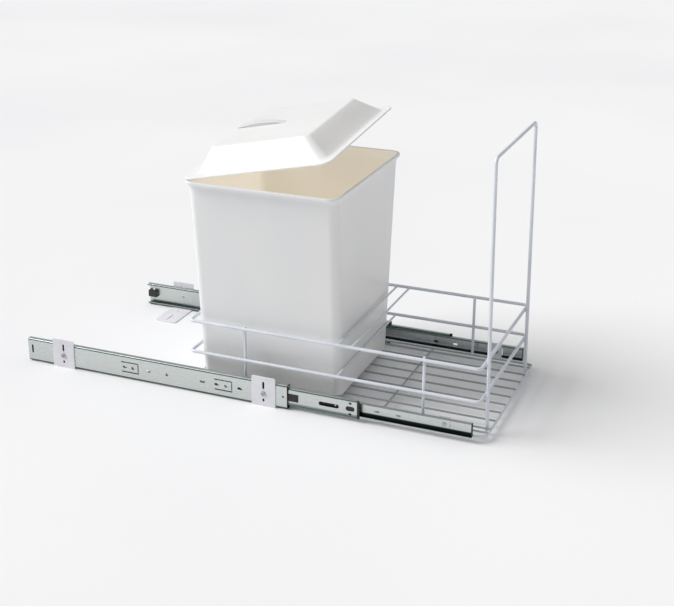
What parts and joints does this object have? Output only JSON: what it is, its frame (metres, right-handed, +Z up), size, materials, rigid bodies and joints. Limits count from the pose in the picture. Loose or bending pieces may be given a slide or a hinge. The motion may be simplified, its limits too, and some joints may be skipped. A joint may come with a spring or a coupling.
{
  "type": "pull-out waste bin",
  "caption": "Pull-out waste bin: plastic bin with a loose domed lid in a wire frame with basket space and a tall wire handle, on ball-bearing slides with floor brackets.",
  "frame": {"origin": "centre of the bounding box on the plane of the bracket feet's undersides", "axes": "+Z up; +Y from the handle to the rear, along the slides; +X to the right seen from the handle"},
  "size_m": [0.3694, 0.9262, 0.5184],
  "materials": {
    "frame_coating": "white powder coat, satin",
    "zinc_steel": "bright zinc plate",
    "bearing_steel": "polished",
    "screw_steel": "zinc plate",
    "bracket_coating": "pale matt coat",
    "black_plastic": "moulded",
    "bin_plastic": "satin moulded, light grey-white",
    "lid_plastic": "satin moulded, white"
  },
  "bodies": {
    "frame": {"handle_loop": "frame_coating", "upper_ring": "frame_coating", "lower_ring": "frame_coating", "side_posts": "frame_coating", "upper_dividers": "frame_coating", "lower_divider": "frame_coating", "base_ring": "frame_coating", "floor_wires": "frame_coating", "cross_wires": "frame_coating", "slide_tabs": "frame_coating", "tab_screws": "screw_steel", "left_drawer_member": "zinc_steel", "right_drawer_member": "zinc_steel"},
    "bin": {"container": "bin_plastic"},
    "lid": {"container_lid": "lid_plastic"},
    "left_cabinet": {"left_cabinet_member": "zinc_steel", "left_bumper": "black_plastic", "left_front_bracket": "bracket_coating", "left_rear_bracket": "bracket_coating", "left_bracket_screws": "screw_steel"},
    "left_middle": {"left_middle_member": "zinc_steel", "left_middle_cap": "black_plastic"},
    "left_outer_cage": {"left_outer_cage": "black_plastic", "left_outer_balls": "bearing_steel"},
    "left_inner_cage": {"left_inner_cage": "zinc_steel", "left_inner_balls": "bearing_steel"},
    "left_lever": {"left_release_lever": "black_plastic"},
    "right_cabinet": {"right_cabinet_member": "zinc_steel", "right_bumper": "black_plastic", "right_front_bracket": "bracket_coating", "right_rear_bracket": "bracket_coating", "right_bracket_screws": "screw_steel"},
    "right_middle": {"right_middle_member": "zinc_steel", "right_middle_cap": "black_plastic"},
    "right_outer_cage": {"right_outer_cage": "black_plastic", "right_outer_balls": "bearing_steel"},
    "right_inner_cage": {"right_inner_cage": "zinc_steel", "right_inner_balls": "bearing_steel"},
    "right_lever": {"right_release_lever": "black_plastic"}
  },
  "joints": [
    {"name": "left_cabinet_slide", "type": "slide", "parent": "frame", "child": "left_cabinet", "axis": [0, 1, 0], "range_m": [-0.3435, 0.2155]},
    {"name": "left_middle_slide", "type": "slide", "parent": "frame", "child": "left_middle", "axis": [0, 1, 0], "range_m": [-0.17175, 0.10775]},
    {"name": "left_outer_cage_slide", "type": "slide", "parent": "frame", "child": "left_outer_cage", "axis": [0, 1, 0], "range_m": [-0.25762, 0.16162]},
    {"name": "left_inner_cage_slide", "type": "slide", "parent": "frame", "child": "left_inner_cage", "axis": [0, 1, 0], "range_m": [-0.08588, 0.05387]},
    {"name": "left_lever_swing", "type": "hinge", "parent": "frame", "child": "left_lever", "pos_m": [-0.17165, -0.18685, 0.02485], "axis": [1, 0, 0], "range_deg": [-8, 8]},
    {"name": "right_cabinet_slide", "type": "slide", "parent": "frame", "child": "right_cabinet", "axis": [0, 1, 0], "range_m": [-0.2735, 0.2855]},
    {"name": "right_middle_slide", "type": "slide", "parent": "frame", "child": "right_middle", "axis": [0, 1, 0], "range_m": [-0.13675, 0.14275]},
    {"name": "right_outer_cage_slide", "type": "slide", "parent": "frame", "child": "right_outer_cage", "axis": [0, 1, 0], "range_m": [-0.20513, 0.21413]},
    {"name": "right_inner_cage_slide", "type": "slide", "parent": "frame", "child": "right_inner_cage", "axis": [0, 1, 0], "range_m": [-0.06838, 0.07137]},
    {"name": "right_lever_swing", "type": "hinge", "parent": "frame", "child": "right_lever", "pos_m": [0.17165, -0.18685, 0.02485], "axis": [1, 0, 0], "range_deg": [-8, 8]},
    {"name": "bin_lift", "type": "slide", "parent": "frame", "child": "bin", "axis": [0, 0, 1], "range_m": [0, 0.14]},
    {"name": "lid_swing", "type": "hinge", "parent": "bin", "child": "lid", "pos_m": [-0.1725, 0.11105, 0.4081], "axis": [-0.9397, -0.342, 0], "range_deg": [-13, 45]}
  ],
  "couplings": [
    {"joint": "left_middle_slide", "follows": "left_cabinet_slide", "ratio": 0.5},
    {"joint": "left_outer_cage_slide", "follows": "left_cabinet_slide", "ratio": 0.75},
    {"joint": "left_inner_cage_slide", "follows": "left_cabinet_slide", "ratio": 0.25},
    {"joint": "right_middle_slide", "follows": "right_cabinet_slide", "ratio": 0.5},
    {"joint": "right_outer_cage_slide", "follows": "right_cabinet_slide", "ratio": 0.75},
    {"joint": "right_inner_cage_slide", "follows": "right_cabinet_slide", "ratio": 0.25}
  ]
}
